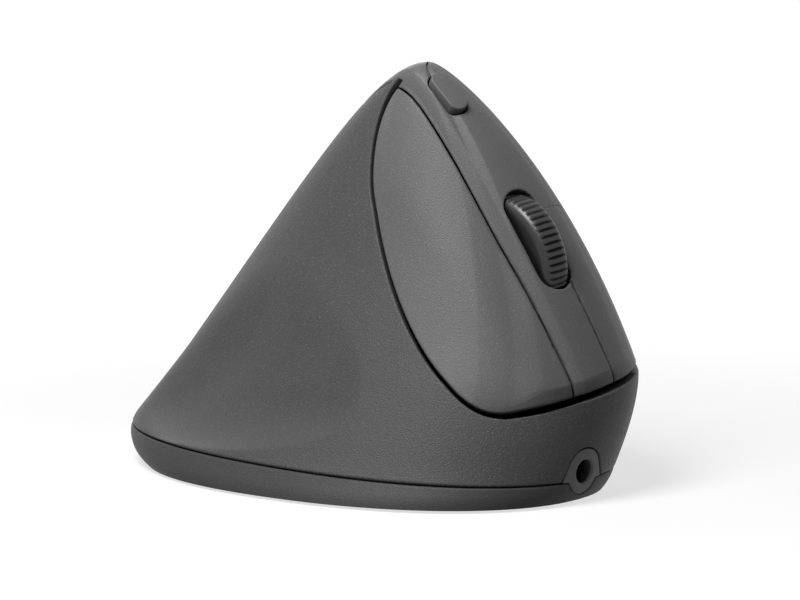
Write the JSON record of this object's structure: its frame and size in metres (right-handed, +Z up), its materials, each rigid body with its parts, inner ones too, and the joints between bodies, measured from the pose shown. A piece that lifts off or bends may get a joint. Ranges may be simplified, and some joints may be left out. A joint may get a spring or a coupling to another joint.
{
  "type": "vertical ergonomic mouse",
  "caption": "Fin-shaped vertical computer mouse with a dished thumb side, click panels beside a raised spine, a ribbed scroll wheel, an oblong button near the peak and a lead collar.",
  "frame": {"origin": "on the table, under the middle of the body's box", "axes": "+Z up from the table, -Y to the front where the button ends and the lead collar are, -X to the thumb side"},
  "size_m": [0.0661, 0.0987, 0.0739],
  "materials": {
    "shell_plastic": "fine grained charcoal grey",
    "base_plastic": "matte dark grey",
    "button_plastic": "smooth satin charcoal grey",
    "small_button_plastic": "satin dark grey",
    "wheel_rubber": "matte black, ribbed",
    "wheel_plastic": "satin black",
    "inner_plastic": "matte grey",
    "encoder_case": "matte grey",
    "circuit_board": "satin green",
    "switch_case": "satin black",
    "switch_pin": "satin red",
    "tact_pin": "satin grey",
    "chip_case": "matte black",
    "clear_lens": "clear",
    "header_plastic": "satin off-white",
    "grommet_rubber": "matte dark grey",
    "screw_steel": "plain steel",
    "glide_pad": "smooth black"
  },
  "bodies": {
    "housing": {"main_shell": "shell_plastic", "base_plate": "base_plastic", "spine_cover": "shell_plastic", "cradle_bracket": "inner_plastic", "button_board": "circuit_board", "board_frame": "inner_plastic", "main_board": "circuit_board", "primary_switch": "switch_case", "secondary_switch": "switch_case", "wheel_switch": "switch_case", "dpi_switch": "switch_case", "sensor_chip": "chip_case", "sensor_lens": "clear_lens", "cable_header": "header_plastic", "cable_grommet": "grommet_rubber", "case_screws": "screw_steel", "board_screws": "screw_steel", "glide_feet": "glide_pad"},
    "primary_button": {"primary_button": "button_plastic"},
    "secondary_button": {"secondary_button": "button_plastic"},
    "dpi_button": {"dpi_button": "small_button_plastic"},
    "wheel_cradle": {"wheel_cradle": "inner_plastic", "wheel_encoder": "encoder_case"},
    "wheel": {"wheel_hub": "wheel_plastic", "wheel_tyre": "wheel_rubber"},
    "primary_plunger": {"primary_plunger": "switch_pin"},
    "secondary_plunger": {"secondary_plunger": "switch_pin"},
    "wheel_plunger": {"wheel_plunger": "tact_pin"},
    "dpi_plunger": {"dpi_plunger": "tact_pin"}
  },
  "joints": [
    {"name": "primary_press", "type": "hinge", "parent": "housing", "child": "primary_button", "pos_m": [-0.00147, -0.00714, 0.06862], "axis": [0.58, -0.6608, 0.4764], "range_deg": [0, 0.5438], "stiffness_Nm_per_rad": 4, "springref_deg": -0.11},
    {"name": "secondary_press", "type": "hinge", "parent": "housing", "child": "secondary_button", "pos_m": [0.00179, -0.03168, 0.04806], "axis": [0.9501, -0.236, 0.2041], "range_deg": [0, 1], "stiffness_Nm_per_rad": 1.5, "springref_deg": -0.17},
    {"name": "dpi_press", "type": "slide", "parent": "housing", "child": "dpi_button", "axis": [0.4067, 0.6346, -0.6571], "range_m": [0, 0.0004], "stiffness_N_per_m": 1200, "springref_m": -0.0001},
    {"name": "wheel_click", "type": "hinge", "parent": "housing", "child": "wheel_cradle", "pos_m": [0.00519, -0.01811, 0.05128], "axis": [0.9511, -0.2606, 0.166], "range_deg": [0, 1.34], "stiffness_Nm_per_rad": 0.6, "springref_deg": -0.34},
    {"name": "wheel_spin", "type": "hinge", "parent": "wheel_cradle", "child": "wheel", "pos_m": [0.00426, -0.02857, 0.04016], "axis": [0.9511, -0.2606, 0.166], "continuous": true},
    {"name": "primary_switch_pin", "type": "slide", "parent": "housing", "child": "primary_plunger", "axis": [0.309, 0.8021, -0.511], "range_m": [0, 0.0006]},
    {"name": "secondary_switch_pin", "type": "slide", "parent": "housing", "child": "secondary_plunger", "axis": [0.309, 0.8021, -0.511], "range_m": [0, 0.0006]},
    {"name": "wheel_switch_pin", "type": "slide", "parent": "housing", "child": "wheel_plunger", "axis": [0.309, 0.8021, -0.511], "range_m": [0, 0.0006]},
    {"name": "dpi_switch_pin", "type": "slide", "parent": "housing", "child": "dpi_plunger", "axis": [0.309, 0.8021, -0.511], "range_m": [0, 0.0006]}
  ],
  "couplings": [
    {"joint": "primary_switch_pin", "follows": "primary_press", "m_per_rad": 0.041981},
    {"joint": "secondary_switch_pin", "follows": "secondary_press", "m_per_rad": 0.022336},
    {"joint": "wheel_switch_pin", "follows": "wheel_click", "m_per_rad": 0.015},
    {"joint": "dpi_switch_pin", "follows": "dpi_press", "ratio": 0.97052}
  ]
}
